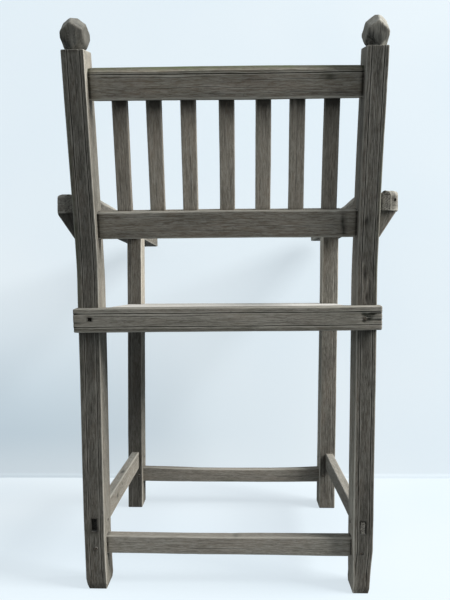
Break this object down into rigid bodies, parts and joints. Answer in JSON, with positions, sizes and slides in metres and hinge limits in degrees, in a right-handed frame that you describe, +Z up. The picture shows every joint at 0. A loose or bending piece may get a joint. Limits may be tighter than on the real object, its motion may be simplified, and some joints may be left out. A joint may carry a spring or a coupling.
{
  "type": "planters chair",
  "caption": "Rigid wooden armchair with a raked slatted back, faceted post tops, a plank seat and long flat arms that run on past the front legs.",
  "frame": {"origin": "centre of the bounding box, on the floor under the chair", "axes": "+Z up, the chair's front faces -Y, +X is the sitter's left"},
  "size_m": [0.588, 0.8792, 0.9892],
  "materials": {
    "weathered_wood": "bare hardwood, weathered grey brown",
    "seat_wood": "bare hardwood, weathered paler grey",
    "peg_wood": "weathered, end grain"
  },
  "bodies": {
    "root": {"arm_bracket_left": "weathered_wood", "arm_bracket_right": "weathered_wood", "arm_left": "weathered_wood", "arm_right": "weathered_wood", "back_slat_1": "weathered_wood", "back_slat_2": "weathered_wood", "back_slat_3": "weathered_wood", "back_slat_4": "weathered_wood", "back_slat_5": "weathered_wood", "back_slat_6": "weathered_wood", "back_slat_7": "weathered_wood", "back_stretcher": "weathered_wood", "back_stretcher_pegs": "peg_wood", "front_leg_left": "weathered_wood", "front_leg_right": "weathered_wood", "front_seat_rail": "weathered_wood", "front_stretcher": "weathered_wood", "front_stretcher_pegs": "peg_wood", "lower_back_rail": "weathered_wood", "rear_post_left": "weathered_wood", "rear_post_right": "weathered_wood", "rear_seat_rail": "weathered_wood", "seat_board_1": "seat_wood", "seat_board_2": "seat_wood", "seat_board_3": "seat_wood", "seat_board_4": "seat_wood", "seat_rail_pegs": "peg_wood", "side_seat_rail_left": "weathered_wood", "side_seat_rail_right": "weathered_wood", "side_stretcher_front_pegs": "peg_wood", "side_stretcher_left": "weathered_wood", "side_stretcher_rear_pegs": "peg_wood", "side_stretcher_right": "weathered_wood", "top_rail": "weathered_wood"}
  },
  "joints": []
}
